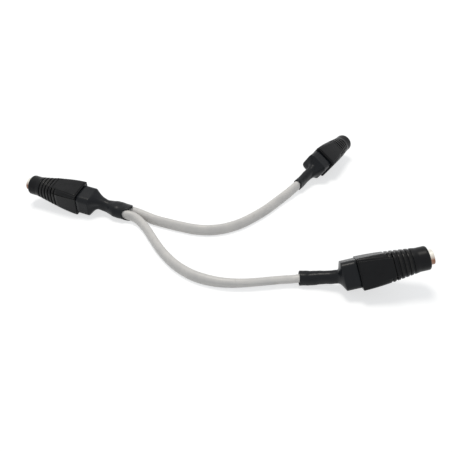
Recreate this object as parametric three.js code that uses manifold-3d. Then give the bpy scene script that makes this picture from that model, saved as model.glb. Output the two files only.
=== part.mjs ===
// DC splitter cable: one in-line DC socket that feeds two more through two white flat cables.
// Millimetres, +Z up. The origin is on the floor, under the middle of the three connectors.
// The left connector is the input. Both cables leave its boot and run to the other two.
import * as THREE from "three";
import { mergeVertices } from "three/addons/utils/BufferGeometryUtils.js";
import Module from "manifold-3d";

const wasm = await Module();
wasm.setup();

// Connector housing. Its own frame has +X along the axis to the nose, and x = 0 at the rear of the grip.
const noseRadius = 5.5;
const noseLength = 6.7;
const noseFillet = 1.0;
const neckLength = 8.1;
const neckFrontHalf = 5.85;
const gripLength = 16.2;
const gripHalf = 7.25;
const gripCorner = 1.0;
const gripCornerGrowth = 1.5;
const leastCorner = 0.5;
const gripChamfer = 0.3;
const panelRise = 0.4;
const panelHalf = 6.1;
const panelInset = 0.5;
const panelTaper = 1.9;
const panelDepth = 2.0;
const panelEdge = 0.35;
const blockLength = 6.0;
const blockHalf = 5.35;
const blockWideHalf = 5.8;
const blockAside = 0.4;
const blockCorner = 1.3;
const blockChamfer = 0.4;

// Ring grooves that leave the ribs of the neck standing
const grooveCount = 6;
const groovePitch = 2.05;
const grooveWidth = 0.8;
const grooveDepth = 0.4;
const grooveFrontInset = 0.9;
const grooveBevel = 0.15;

// Socket
const fitGap = 0.3;
const sleeveRadius = 3.5;
const sleeveWall = 0.4;
const sleeveProud = 2.0;
const sleeveEndRound = 0.2;
const pinRadius = 1.05;
const pinRecess = 1.8;
const pinTipLength = 0.85;
const pinTipRadius = 0.3;
const pinSides = 12;
const tailLength = 1.6;
const coreBossLength = 2.4;
const coreBarrelLength = 3.2;
const coreFlangeLength = 1.3;
const coreFlangeRadius = 4.5;
const springWidth = 1.6;
const springThickness = 0.3;
const springReach = 8.5;
const springBow = 0.35;
const springTipLift = 0.15;
const springClearance = 0.35;
const tagLength = 4.0;
const tagWidth = 2.0;
const tagThickness = 0.5;
const tagEyeRadius = 0.5;

// Chamber behind the socket, and the cover that closes it
const chamberWall = 1.8;
const chamberLength = 11.2;
const coverSplitRear = 5.4;
const coverSplitFront = 4.3;
const coverFrontInset = 1.0;
const latchLength = 3.0;
const latchThickness = 0.9;
const latchDepth = 3.0;
const latchRoot = 1.5;

// Cable, its cores and the heat-shrink boots
const cableHalfWide = 2.75;
const cableHalfThin = 1.95;
const coreWireRadius = 0.7;
const coreWireSpread = 1.2;
const wirePairHalf = 0.85;
const wireWaistHalf = 0.95;
const wireSplayHalf = 1.2;
const shrinkWall = 0.45;
const shrinkGap = 0.25;
const shrinkOval = 2.4;
const cablePairGap = 0.2;
const cableEndInset = 0.4;
const cablePairEnd = 5.0;
const wireSplayLength = 3.5;
const wireBlockLead = 5.0;
const wireTagLead = 1.2;
const wireStartGap = 0.5;
const flareFrom = 0.35;
const flareTo = 0.68;
const flareWiden = 0.4;
const waistSpare = 0.5;
const bootRingBacks = [0.0, 0.7, 1.8, 3.4, 5.6, 8.4, 11.6, 14.8, 18.0];
const bootRingStep = 0.5;
const bootCornerShare = 0.6;
const bootLastGap = 1.5;

// Numbers of sides and steps
const ringPoints = 20;
const filletSteps = 3;
const roundSides = 20;
const cableSides = 10;
const wireSides = 6;
const cutPast = 1.0;

const neckFront = gripLength + neckLength;
const noseFront = neckFront + noseLength;
const chamberRear = 1.2;
const chamberFront = chamberRear + chamberLength;
const boreRadius = sleeveRadius + fitGap;
const coreFlangeRear = chamberFront - fitGap - coreFlangeLength;
const coreBarrelFront = coreFlangeRear + coreFlangeLength + coreBarrelLength;
const coreBossFront = coreBarrelFront + coreBossLength;
const sleeveInner = sleeveRadius - sleeveWall;
const springHeight = sleeveInner - springThickness - springClearance;
const tagFront = coreFlangeRear - fitGap - tailLength;
const pinRear = tagFront + fitGap;
const cableHoleHalfWide = cableHalfWide + fitGap;
const cableHoleHalfThin = cableHalfThin + fitGap;

// Where the connectors lie on the floor, and how long their boots are
const leftOut = 70.7;
const leftAside = 3.4;
const leftBootLength = 22.5;
const rightOut = 70.7;
const rightAside = 59.6;
const rightBootLength = 20.3;
const farOut = 69.4;
const farAside = 41.3;
const farBootLength = 19.1;

// Where each connector lies: its grip's rear on the floor plane, its heading from +X towards +Y, how far
// its nose is raised, and how far it is rolled about its axis, in degrees. A boot's path is given across
// the axis as [y, z] at its middle and at its mouth. Webs are how far back the shrunk sleeve spans from
// the block to the neck on each side.
const connectors = [
  {
    name: "left", at: [-leftOut, leftAside], heading: 164.0, pitch: 7.3, roll: -7.1,
    bootLength: leftBootLength, bendMiddle: [-0.3, -1.0], bendMouth: [1.0, 0.3], cableTurn: 97, cables: 2,
    webs: { up: 11.0, down: 3.0, left: 4.0, right: 7.0 },
  },
  {
    name: "right", at: [rightOut, -rightAside], heading: 1.6, pitch: 16.5, roll: 53.2,
    bootLength: rightBootLength, bendMiddle: [1.2, -3.1], bendMouth: [3.5, -1.9], cableTurn: 37, cables: 1,
    webs: { up: 2.5, down: 2.5, left: 1.6, right: 2.5 },
  },
  {
    name: "far", at: [farOut, farAside], heading: 50.8, pitch: 2.8, roll: 31.1,
    bootLength: farBootLength, bendMiddle: [-1.2, -2.7], bendMouth: [-1.5, -3.0], cableTurn: 59, cables: 1,
    webs: { up: 2.0, down: 5.0, left: 2.0, right: 9.0 },
  },
];

// Cable routes from the left boot's mouth, chosen by hand
const nearRoute = [
  [-43.6, -7.6, 4.2], [-41.2, -8.3, 3.9], [-38.2, -10.3, 3.5], [-35.0, -13.9, 3.1], [-31.6, -19.1, 2.8],
  [-28.1, -25.6, 2.8], [-22.9, -35.0, 2.8], [-18.1, -42.0, 2.8], [-13.8, -47.1, 2.8], [-9.6, -50.9, 2.8],
  [-5.6, -53.8, 2.8], [-1.7, -55.8, 2.8], [5.8, -58.3, 2.8], [13.3, -59.2, 2.8], [20.7, -59.0, 2.8],
  [28.2, -58.1, 2.8], [35.8, -57.1, 2.8], [41.7, -56.7, 2.9], [44.1, -56.7, 3.3],
];
const farRoute = [
  [-42.5, -3.6, 4.2], [-39.6, -4.6, 3.8], [-36.0, -6.3, 3.4], [-32.3, -8.3, 3.1], [-28.9, -10.1, 2.8],
  [-25.5, -11.7, 2.8], [-21.0, -13.5, 2.8], [-16.5, -15.3, 2.8], [-12.0, -16.9, 2.8], [-7.7, -18.3, 2.8],
  [-3.4, -19.1, 2.8], [0.9, -19.4, 2.8], [5.2, -19.0, 2.8], [9.4, -18.0, 2.8], [13.7, -16.2, 2.8],
  [18.1, -13.8, 2.8], [22.5, -10.5, 2.8], [27.1, -6.5, 2.8], [31.9, -1.9, 2.8], [36.8, 3.5, 2.8],
  [41.9, 9.4, 3.0], [47.2, 15.1, 3.6], [51.3, 19.6, 4.4], [52.9, 21.5, 4.6],
];
const cableStep = 4.6;
const cableLabels = ["_near", "", "_far"];

// Finishes
const housingPlastic = new THREE.MeshStandardMaterial({ color: 0x17191c, roughness: 0.55, metalness: 0 });
const shrinkPlastic = new THREE.MeshStandardMaterial({ color: 0x15181d, roughness: 0.4, metalness: 0 });
const corePlastic = new THREE.MeshStandardMaterial({ color: 0x202124, roughness: 0.6, metalness: 0 });
const nickel = new THREE.MeshStandardMaterial({ color: 0xc9c4b8, roughness: 0.22, metalness: 1 });
const brass = new THREE.MeshStandardMaterial({ color: 0xb9924c, roughness: 0.3, metalness: 1 });
const cableJacket = new THREE.MeshStandardMaterial({ color: 0xdcd9d4, roughness: 0.45, metalness: 0 });
const redInsulation = new THREE.MeshStandardMaterial({ color: 0xa81f1c, roughness: 0.45, metalness: 0 });
const blackInsulation = new THREE.MeshStandardMaterial({ color: 0x1b1b1d, roughness: 0.45, metalness: 0 });

// Closed solids from rings of points. Every ring has the same number of points, and runs from +Y to +Z.
function skin(rings, closeLoop) {
  const count = rings[0].length;
  const positions = rings.flat().flatMap((p) => [p.x, p.y, p.z]);
  const faces = [];
  const bands = closeLoop ? rings.length : rings.length - 1;
  for (let i = 0; i < bands; i += 1) {
    const here = i * count;
    const next = ((i + 1) % rings.length) * count;
    for (let j = 0; j < count; j += 1) {
      const k = (j + 1) % count;
      faces.push(here + j, here + k, next + k, here + j, next + k, next + j);
    }
  }
  if (!closeLoop) {
    const last = (rings.length - 1) * count;
    for (let j = 1; j < count - 1; j += 1) {
      faces.push(0, j + 1, j, last, last + j, last + j + 1);
    }
  }
  const geometry = new THREE.BufferGeometry();
  geometry.setAttribute("position", new THREE.Float32BufferAttribute(positions, 3));
  geometry.setIndex(faces);
  return geometry;
}

function toSolid(geometry) {
  const bare = geometry.clone();
  bare.deleteAttribute("normal");
  bare.deleteAttribute("uv");
  const merged = mergeVertices(bare, 1e-4);
  const vertProperties = new Float32Array(merged.attributes.position.array);
  const triVerts = new Uint32Array(merged.index.array);
  return new wasm.Manifold(new wasm.Mesh({ numProp: 3, vertProperties, triVerts }));
}

function toGeometry(solid) {
  const mesh = solid.getMesh();
  const geometry = new THREE.BufferGeometry();
  geometry.setAttribute("position", new THREE.Float32BufferAttribute(mesh.vertProperties, 3));
  geometry.setIndex(Array.from(mesh.triVerts));
  return geometry;
}

// A square section with round corners. A corner as large as the half width makes it a circle.
function roundedRing(x, halfY, halfZ, corner) {
  const points = [];
  for (let k = 0; k < ringPoints; k += 1) {
    const angle = ((k + 0.5) * 2 * Math.PI) / ringPoints;
    const c = Math.cos(angle);
    const s = Math.sin(angle);
    const y = Math.sign(c) * (halfY - corner) + corner * c;
    const z = Math.sign(s) * (halfZ - corner) + corner * s;
    points.push(new THREE.Vector3(x, y, z));
  }
  return points;
}

// A section of the block behind the grip, which stands a little to one side
function blockRing(x, spare, corner) {
  const ring = roundedRing(x, blockWideHalf + spare, blockHalf + spare, corner);
  ring.forEach((p) => p.setY(p.y + blockAside));
  return ring;
}

// An oval section, turned about the axis
function ovalRadius(angle, halfWide, halfThin, turn) {
  const c = Math.abs(Math.cos(angle - turn)) / halfWide;
  const s = Math.abs(Math.sin(angle - turn)) / halfThin;
  return (c ** shrinkOval + s ** shrinkOval) ** (-1 / shrinkOval);
}

function ovalRing(x, centre, halfWide, halfThin, turn, count) {
  const points = [];
  for (let k = 0; k < count; k += 1) {
    const angle = ((k + 0.5) * 2 * Math.PI) / count;
    const radius = ovalRadius(angle, halfWide, halfThin, turn);
    const y = centre[0] + radius * Math.cos(angle);
    const z = centre[1] + radius * Math.sin(angle);
    points.push(new THREE.Vector3(x, y, z));
  }
  return points;
}

function boxBetween(low, high) {
  const box = new THREE.BoxGeometry(high[0] - low[0], high[1] - low[1], high[2] - low[2]);
  return box.translate((low[0] + high[0]) / 2, (low[1] + high[1]) / 2, (low[2] + high[2]) / 2);
}

// A turned piece: profile points are [along the axis, radius]
function turned(profile, sides) {
  const points = profile.map(([along, radius]) => new THREE.Vector2(radius, along));
  return new THREE.LatheGeometry(points, sides).rotateZ(-Math.PI / 2);
}

// How the housing narrows from the grip's rear to the neck's front
function housingHalf(x) {
  return neckFrontHalf + (gripHalf - neckFrontHalf) * Math.cos((Math.PI / 2) * (x / neckFront));
}

function housingCorner(x) {
  return gripCorner + (housingHalf(x) - gripCorner) * (x / neckFront) ** gripCornerGrowth;
}

function housingRing(x, inward) {
  const half = housingHalf(x) - inward;
  const corner = THREE.MathUtils.clamp(housingCorner(x) - inward, leastCorner, half - leastCorner);
  return roundedRing(x, half, half - panelRise * (1 - x / neckFront), corner);
}

function grooveRings() {
  const rings = [];
  for (let i = grooveCount - 1; i >= 0; i -= 1) {
    const middle = neckFront - grooveFrontInset - i * groovePitch;
    rings.push(housingRing(middle - grooveWidth / 2, 0));
    rings.push(housingRing(middle - grooveWidth / 2 + grooveBevel, grooveDepth));
    rings.push(housingRing(middle + grooveWidth / 2 - grooveBevel, grooveDepth));
    rings.push(housingRing(middle + grooveWidth / 2, 0));
  }
  return rings;
}

function noseRings() {
  const rings = [roundedRing(neckFront, noseRadius, noseRadius, noseRadius)];
  for (let i = 0; i <= filletSteps; i += 1) {
    const angle = (i / filletSteps) * (Math.PI / 2);
    const radius = noseRadius - noseFillet + noseFillet * Math.cos(angle);
    rings.push(roundedRing(noseFront - noseFillet + noseFillet * Math.sin(angle), radius, radius, radius));
  }
  return rings;
}

function housingBlank() {
  const bulgeStep = gripLength / 4;
  return skin([
    blockRing(-blockLength, -blockChamfer, blockCorner),
    blockRing(-blockLength + blockChamfer, 0, blockCorner),
    blockRing(0, 0, blockCorner),
    housingRing(0, gripChamfer),
    housingRing(gripChamfer, 0),
    housingRing(bulgeStep, 0),
    housingRing(2 * bulgeStep, 0),
    ...grooveRings(),
    housingRing(neckFront, 0),
    ...noseRings(),
  ], false);
}

// A raised field on a flat of the grip. It follows the grip's curve and narrows to the front.
function panelBlank(side) {
  const rings = [];
  const steps = 4;
  const rear = panelInset;
  const front = gripLength + grooveDepth;
  for (let i = 0; i <= steps; i += 1) {
    const x = rear + ((front - rear) * i) / steps;
    const top = housingHalf(x);
    const half = panelHalf - panelTaper * (i / steps);
    const inner = half - panelEdge;
    const shoulder = top - panelEdge;
    const base = top - panelDepth;
    const corners = [
      [half, base], [half, shoulder], [inner, top], [-inner, top], [-half, shoulder], [-half, base],
    ];
    rings.push(corners.map(([y, z]) => new THREE.Vector3(x, y, z)));
  }
  const panel = skin(rings, false);
  return side > 0 ? panel : panel.rotateX(Math.PI);
}

// The cut between body and cover: a sloping plane under the upper flat, with a step at the front
function coverRegion(margin) {
  const rear = -margin;
  const front = gripLength - coverFrontInset + margin;
  const high = gripHalf * 2;
  const slope = (coverSplitFront - coverSplitRear) / (gripLength - coverFrontInset);
  const lowAt = (x) => coverSplitRear + slope * x - margin;
  const outline = new THREE.Shape();
  outline.moveTo(rear, lowAt(rear));
  outline.lineTo(front, lowAt(front));
  outline.lineTo(front, high);
  outline.lineTo(rear, high);
  outline.closePath();
  const region = new THREE.ExtrudeGeometry(outline, { depth: gripHalf * 4, bevelEnabled: false });
  return region.rotateX(Math.PI / 2).translate(0, gripHalf * 2, 0);
}

function chamberBlank() {
  const half = housingHalf(chamberFront) - chamberWall;
  return boxBetween([chamberRear, -half, -half], [chamberFront, half, gripHalf * 2]);
}

function boreBlank() {
  const rear = chamberFront - cutPast;
  const front = noseFront + cutPast;
  return turned([[rear, 0], [rear, boreRadius], [front, boreRadius], [front, 0]], roundSides);
}

function cablePassage(turn) {
  return skin([
    ovalRing(-blockLength - cutPast, [0, 0], cableHoleHalfWide, cableHoleHalfThin, turn, ringPoints),
    ovalRing(chamberRear + cutPast, [0, 0], cableHoleHalfWide, cableHoleHalfThin, turn, ringPoints),
  ], false);
}

function latchBlank(side) {
  const outer = housingHalf(chamberFront) - chamberWall - fitGap;
  const middle = (chamberRear + chamberFront) / 2;
  const low = coverSplitFront - latchDepth;
  const high = coverSplitFront + latchRoot;
  const near = side > 0 ? outer - latchThickness : -outer;
  const halfLength = latchLength / 2;
  return boxBetween([middle - halfLength, near, low], [middle + halfLength, near + latchThickness, high]);
}

function housingPieces(turn) {
  const blank = toSolid(housingBlank()).add(toSolid(panelBlank(1))).add(toSolid(panelBlank(-1)));
  const lid = blank.intersect(toSolid(coverRegion(0)));
  const cover = lid.add(toSolid(latchBlank(1))).add(toSolid(latchBlank(-1)));
  const cuts = [coverRegion(fitGap), chamberBlank(), boreBlank(), cablePassage(turn)];
  const body = cuts.reduce((left, cut) => left.subtract(toSolid(cut)), blank);
  return { body: toGeometry(body), cover: toGeometry(cover) };
}

// The insulator that carries the sleeve, the pin and the spring, with a slot for the spring along its top
function insulator() {
  const hole = pinRadius + fitGap;
  const barrelRear = coreFlangeRear + coreFlangeLength;
  const blank = turned([
    [coreFlangeRear, hole], [coreFlangeRear, coreFlangeRadius], [barrelRear, coreFlangeRadius],
    [barrelRear, sleeveRadius], [coreBarrelFront, sleeveRadius], [coreBarrelFront, sleeveInner - fitGap],
    [coreBossFront, sleeveInner - fitGap], [coreBossFront, hole], [coreFlangeRear, hole],
  ], roundSides);
  const slotHalf = springWidth / 2 + fitGap;
  const slot = boxBetween(
    [coreFlangeRear - cutPast, -slotHalf, springHeight - fitGap],
    [coreBossFront + cutPast, slotHalf, coreFlangeRadius + cutPast],
  );
  return toGeometry(toSolid(blank).subtract(toSolid(slot)));
}

function sleeve() {
  const rear = coreBarrelFront + fitGap;
  const front = noseFront + sleeveProud;
  return turned([
    [rear, sleeveInner], [rear, sleeveRadius], [front - sleeveEndRound, sleeveRadius],
    [front, sleeveRadius - sleeveEndRound], [front, sleeveInner], [rear, sleeveInner],
  ], roundSides);
}

function centrePin() {
  const front = noseFront + sleeveProud - pinRecess;
  return turned([
    [pinRear, 0], [pinRear, pinRadius], [front - pinTipLength, pinRadius], [front, pinTipRadius], [front, 0],
  ], pinSides);
}

// The leaf that bears on the outside of a plug
function contactSpring() {
  const rear = tagFront + fitGap;
  const bowed = coreBossFront + springReach / 2;
  const front = coreBossFront + springReach;
  const line = [
    [rear, 0], [coreBossFront + cutPast, 0], [bowed, -springBow],
    [front - cutPast, 0], [front, springTipLift],
  ];
  const under = line.map(([x, lift]) => new THREE.Vector2(x, springHeight + lift));
  const over = under.map((p) => new THREE.Vector2(p.x, p.y + springThickness)).reverse();
  const outline = new THREE.Shape([...under, ...over]);
  const strip = new THREE.ExtrudeGeometry(outline, { depth: springWidth, bevelEnabled: false });
  return strip.rotateX(Math.PI / 2).translate(0, springWidth / 2, 0);
}

function solderTag(front, height) {
  const rear = front - tagLength;
  const halfWidth = tagWidth / 2;
  const corners = [[rear, -halfWidth], [front, -halfWidth], [front, halfWidth], [rear, halfWidth]];
  const outline = new THREE.Shape(corners.map(([x, y]) => new THREE.Vector2(x, y)));
  const eye = new THREE.Path();
  eye.absarc(rear + tagWidth / 2, 0, tagEyeRadius, 0, Math.PI * 2, true);
  outline.holes.push(eye);
  const settings = { depth: tagThickness, bevelEnabled: false, curveSegments: 3 };
  const plate = new THREE.ExtrudeGeometry(outline, settings);
  return plate.translate(0, 0, height - tagThickness / 2);
}

// The boot's centre line: x back from the block, and its offset across the axis
function bootStart() {
  return -blockLength - fitGap;
}

function bootCentre(spec, x) {
  const s = Math.max(0, (bootStart() - x) / spec.bootLength);
  const across = (i) => 2 * s * (1 - s) * spec.bendMiddle[i] + s * s * spec.bendMouth[i];
  return [across(0), across(1)];
}

// Half sizes of what the boot's neck holds: one cable, or two side by side at the left connector's mouth
function neckHalf(spec, x) {
  if (spec.cables === 1) {
    return [cableHalfWide + shrinkGap, cableHalfThin + shrinkGap];
  }
  const s = (bootStart() - x) / spec.bootLength;
  const flare = THREE.MathUtils.smoothstep(s, flareFrom, flareTo);
  const waist = cableHalfThin + waistSpare;
  const mouth = 2 * cableHalfThin + cablePairGap + waistSpare;
  return [cableHalfWide + shrinkGap + flareWiden * flare, THREE.MathUtils.lerp(waist, mouth, flare)];
}

function bootRing(spec, x, blockEnd, wall) {
  const [wide, thin] = neckHalf(spec, x);
  const turn = THREE.MathUtils.degToRad(spec.cableTurn);
  const spare = fitGap + wall;
  const corner = blockCorner + spare * bootCornerShare;
  const block = blockRing(x, spare, corner);
  const centre = bootCentre(spec, x);
  const neck = ovalRing(x, centre, wide + wall, thin + wall, turn, ringPoints);
  return block.map((p, k) => {
    const angle = ((k + 0.5) * 2 * Math.PI) / ringPoints;
    const c = Math.cos(angle);
    const s = Math.sin(angle);
    const sideWeb = c > 0 ? spec.webs.left : spec.webs.right;
    const flatWeb = s > 0 ? spec.webs.up : spec.webs.down;
    const web = sideWeb * c * c + flatWeb * s * s;
    const t = THREE.MathUtils.clamp((blockEnd - x) / web, 0, 1);
    return p.lerp(neck[k], 1 - (1 - t) ** 2);
  });
}

function boot(spec) {
  const mouth = bootStart() - spec.bootLength;
  const outerEnd = bootStart() - shrinkWall;
  const backs = bootRingBacks.filter((back) => outerEnd - back > mouth + bootLastGap);
  const outerXs = [-fitGap, outerEnd + bootRingStep, ...backs.map((back) => outerEnd - back), mouth];
  const innerXs = [-fitGap, bootStart() + bootRingStep, ...backs.map((back) => bootStart() - back), mouth];
  const outer = outerXs.map((x) => bootRing(spec, x, outerEnd, shrinkWall));
  const inner = innerXs.map((x) => bootRing(spec, x, bootStart(), 0));
  return skin([...inner, ...outer.reverse()], true);
}

function cableEndFront(spec) {
  return spec.cables === 1 ? -cableEndInset : bootStart() - spec.bootLength + cablePairEnd;
}

// The jacketed end of a cable inside the boot
function cableEnd(spec, side) {
  const mouth = bootStart() - spec.bootLength;
  const turn = THREE.MathUtils.degToRad(spec.cableTurn);
  const inner = cableEndFront(spec);
  const steps = spec.cables === 1 ? 7 : 2;
  const across = side * (cableHalfThin + cablePairGap / 2);
  const rings = [];
  for (let i = 0; i <= steps; i += 1) {
    const x = mouth + ((inner - mouth) * i) / steps;
    const [y, z] = bootCentre(spec, x);
    const centre = [y - across * Math.sin(turn), z + across * Math.cos(turn)];
    rings.push(ovalRing(x, centre, cableHalfWide, cableHalfThin, turn, cableSides));
  }
  return skin(rings, false);
}

// An insulated core from the cable's end to its solder tag
function coreWire(spec, points) {
  const curve = new THREE.CatmullRomCurve3(points.map((p) => new THREE.Vector3(...p)), false, "centripetal");
  const section = new THREE.Shape();
  section.absarc(0, 0, coreWireRadius, 0, Math.PI * 2, false);
  return new THREE.ExtrudeGeometry(section, {
    steps: spec.cables === 1 ? 4 : 9,
    curveSegments: wireSides / 2,
    bevelEnabled: false,
    extrudePath: curve,
  });
}

function wirePaths(spec, side) {
  const rear = cableEndFront(spec) + wireStartGap;
  const front = tagFront - tagLength - fitGap;
  const turn = THREE.MathUtils.degToRad(spec.cableTurn);
  const wide = [Math.cos(turn), Math.sin(turn)];
  const thin = [-Math.sin(turn), Math.cos(turn)];
  const at = (x, alongWide, alongThin) => {
    const [y, z] = bootCentre(spec, x);
    return [x, y + alongWide * wide[0] + alongThin * thin[0], z + alongWide * wide[1] + alongThin * thin[1]];
  };
  return [-1, 1].map((core) => {
    const points = [at(rear, core * coreWireSpread, side * cableHalfThin)];
    if (spec.cables > 1) {
      points.push(at(rear + wireSplayLength, core * wireWaistHalf, side * wireSplayHalf));
      points.push(at(bootStart() - wireBlockLead, core * wireWaistHalf, side * wireWaistHalf));
      points.push(at(chamberRear, core * wireWaistHalf, side * wireWaistHalf));
    }
    const height = core < 0 ? 0 : springHeight;
    points.push([front - wireTagLead, -side * wirePairHalf, height]);
    points.push([front, -side * wirePairHalf, height]);
    return points;
  });
}

function addMesh(group, name, geometry, material) {
  const mesh = new THREE.Mesh(geometry, material);
  mesh.name = name;
  group.add(mesh);
}

function connector(spec) {
  const group = new THREE.Group();
  const turn = THREE.MathUtils.degToRad(spec.cableTurn);
  const housing = housingPieces(turn);
  addMesh(group, `${spec.name}_housing_body`, housing.body, housingPlastic);
  addMesh(group, `${spec.name}_housing_cover`, housing.cover, housingPlastic);
  addMesh(group, `${spec.name}_insulator`, insulator(), corePlastic);
  addMesh(group, `${spec.name}_socket_sleeve`, sleeve(), nickel);
  addMesh(group, `${spec.name}_centre_pin`, centrePin(), nickel);
  addMesh(group, `${spec.name}_contact_spring`, contactSpring(), brass);
  addMesh(group, `${spec.name}_tag_plus`, solderTag(tagFront, 0), brass);
  addMesh(group, `${spec.name}_tag_minus`, solderTag(tagFront, springHeight), brass);
  addMesh(group, `${spec.name}_boot`, boot(spec), shrinkPlastic);
  const sides = spec.cables === 1 ? [0] : [-1, 1];
  for (const side of sides) {
    const label = cableLabels[side + 1];
    addMesh(group, `${spec.name}_cable_end${label}`, cableEnd(spec, side), cableJacket);
    const [red, black] = wirePaths(spec, side);
    addMesh(group, `${spec.name}_red_core${label}`, coreWire(spec, red), redInsulation);
    addMesh(group, `${spec.name}_black_core${label}`, coreWire(spec, black), blackInsulation);
  }
  const rad = THREE.MathUtils.degToRad;
  group.rotation.set(rad(spec.roll), -rad(spec.pitch), rad(spec.heading), "ZYX");
  group.updateMatrixWorld(true);
  const lowest = new THREE.Box3().setFromObject(group, true).min.z;
  group.position.set(spec.at[0], spec.at[1], -lowest);
  return group;
}

// A flat cable along its route, standing on its edge
function cable(route) {
  const curve = new THREE.CatmullRomCurve3(route.map((p) => new THREE.Vector3(...p)), false, "centripetal");
  const section = new THREE.Shape();
  for (let k = 0; k < cableSides; k += 1) {
    const angle = ((k + 0.5) * 2 * Math.PI) / cableSides;
    const radius = ovalRadius(angle, cableHalfWide, cableHalfThin, 0);
    const x = radius * Math.cos(angle);
    const y = radius * Math.sin(angle);
    if (k === 0) {
      section.moveTo(x, y);
    } else {
      section.lineTo(x, y);
    }
  }
  section.closePath();
  const steps = Math.round(curve.getLength() / cableStep);
  return new THREE.ExtrudeGeometry(section, { steps, bevelEnabled: false, extrudePath: curve });
}

const splitter = new THREE.Group();
connectors.forEach((spec) => splitter.add(connector(spec)));
addMesh(splitter, "cable_near", cable(nearRoute), cableJacket);
addMesh(splitter, "cable_far", cable(farRoute), cableJacket);

export default splitter;
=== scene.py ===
"""A DC splitter cable: one in-line socket joined to two more by white flat cables, lying on a pale floor.

The sizes of each piece are in millimetres. The meshes are in metres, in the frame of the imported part.
"""

import logging
import math
from dataclasses import dataclass
from enum import Enum
from typing import Sequence

import bpy
import numpy as np
from mathutils import Matrix, Vector


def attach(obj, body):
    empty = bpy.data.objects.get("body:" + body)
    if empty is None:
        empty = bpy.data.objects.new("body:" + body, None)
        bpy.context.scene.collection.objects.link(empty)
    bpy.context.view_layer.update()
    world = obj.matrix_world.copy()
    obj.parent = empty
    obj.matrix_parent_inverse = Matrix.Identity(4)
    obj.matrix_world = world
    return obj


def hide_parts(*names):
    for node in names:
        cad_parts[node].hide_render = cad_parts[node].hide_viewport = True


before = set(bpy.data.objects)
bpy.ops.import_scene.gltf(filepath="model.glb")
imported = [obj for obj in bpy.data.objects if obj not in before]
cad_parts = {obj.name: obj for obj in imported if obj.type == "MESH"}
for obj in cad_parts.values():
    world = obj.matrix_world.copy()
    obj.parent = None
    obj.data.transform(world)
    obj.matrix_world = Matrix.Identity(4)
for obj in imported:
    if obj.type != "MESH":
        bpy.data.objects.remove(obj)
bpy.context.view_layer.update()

MM = 0.001
OVAL_POWER = 2.4
LOG = logging.getLogger("splitter")
Point = tuple[float, float, float]
Pair = tuple[float, float]
Colour = tuple[float, float, float, float]


# Surfaces from rings of points


@dataclass
class Surface:
    """Points in millimetres, faces by point number, and a map position for each corner of each face."""

    points: np.ndarray
    faces: list[tuple[int, ...]]
    maps: list[Pair]

    def mesh(self, name: str, place: Matrix, crease: float) -> bpy.types.Mesh:
        """Makes the mesh of this surface.

        Args:
            name: The mesh's name.
            place: Where the surface's own frame lies in the part's frame, in millimetres.
            crease: The angle in degrees above which an edge stays sharp.

        Returns:
            The mesh, in metres.
        """
        mesh = bpy.data.meshes.new(name)
        moved = [(place @ Vector(point)) * MM for point in self.points]
        mesh.from_pydata([tuple(point) for point in moved], [], self.faces)
        layer = mesh.uv_layers.new(name="along_around")
        layer.data.foreach_set("uv", np.array(self.maps, dtype=np.float32).ravel() * MM)
        mesh.validate()
        mesh.shade_smooth()
        mesh.set_sharp_from_angle(angle=math.radians(crease))
        return mesh


def skin(rings: Sequence[np.ndarray], closed: bool = False) -> Surface:
    """Joins rings of points into a closed surface.

    Args:
        rings: Rings with the same number of points each, turning the same way.
        closed: Whether the last ring joins the first. Otherwise both ends are capped.

    Returns:
        The surface. Its map runs along the rings, then around them.
    """
    count = len(rings[0])
    middles = [ring.mean(axis=0) for ring in rings]
    steps = [float(np.linalg.norm(b - a)) for a, b in zip(middles, middles[1:])]
    along = np.concatenate([[0.0], np.cumsum(steps)])
    first = np.vstack([rings[len(rings) // 2], rings[len(rings) // 2][:1]])
    around = np.concatenate([[0.0], np.cumsum(np.linalg.norm(np.diff(first, axis=0), axis=1))])
    faces: list[tuple[int, ...]] = []
    maps: list[Pair] = []
    bands = len(rings) if closed else len(rings) - 1
    for band in range(bands):
        here, after = band * count, ((band + 1) % len(rings)) * count
        low = along[band]
        high = along[band + 1] if band + 1 < len(rings) else along[band]
        for j in range(count):
            k = (j + 1) % count
            faces.append((here + j, here + k, after + k, after + j))
            left, right = around[j], around[j + 1]
            maps += [(low, left), (low, right), (high, right), (high, left)]
    if not closed:
        last = (len(rings) - 1) * count
        faces.append(tuple(range(count - 1, -1, -1)))
        faces.append(tuple(range(last, last + count)))
        maps += [(0.0, 0.0)] * (2 * count)
    return Surface(np.concatenate(rings), faces, maps)


def turned(profile: Sequence[Pair], sides: int, closed: bool) -> Surface:
    """Turns a profile about the X axis.

    Args:
        profile: Points as (along the axis, radius), running so that the material lies inside.
        sides: How many sides the turned surface has.
        closed: Whether the profile's end joins its start. Otherwise both ends are capped.

    Returns:
        The surface.
    """
    angles = [2 * math.pi * k / sides for k in range(sides)]
    rings = [np.array([(x, r * math.cos(a), r * math.sin(a)) for a in angles]) for x, r in profile]
    return skin(rings, closed)


def block_surface(low: Point, high: Point) -> Surface:
    """A plain box between two corners, used only as a cutter."""
    (x0, y0, z0), (x1, y1, z1) = low, high
    loop = [(y0, z0), (y1, z0), (y1, z1), (y0, z1)]
    return skin([np.array([(x, y, z) for y, z in loop]) for x in (x0, x1)])


def smoothstep(value: float, low: float, high: float) -> float:
    """A soft step from 0 at low to 1 at high."""
    share = min(max((value - low) / (high - low), 0.0), 1.0)
    return share * share * (3 - 2 * share)


def oval_radius(angle: float, half_wide: float, half_thin: float) -> float:
    """The radius of the cable's flat oval at an angle from its wide axis."""
    wide = abs(math.cos(angle)) / half_wide
    thin = abs(math.sin(angle)) / half_thin
    return (wide**OVAL_POWER + thin**OVAL_POWER) ** (-1 / OVAL_POWER)


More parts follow.
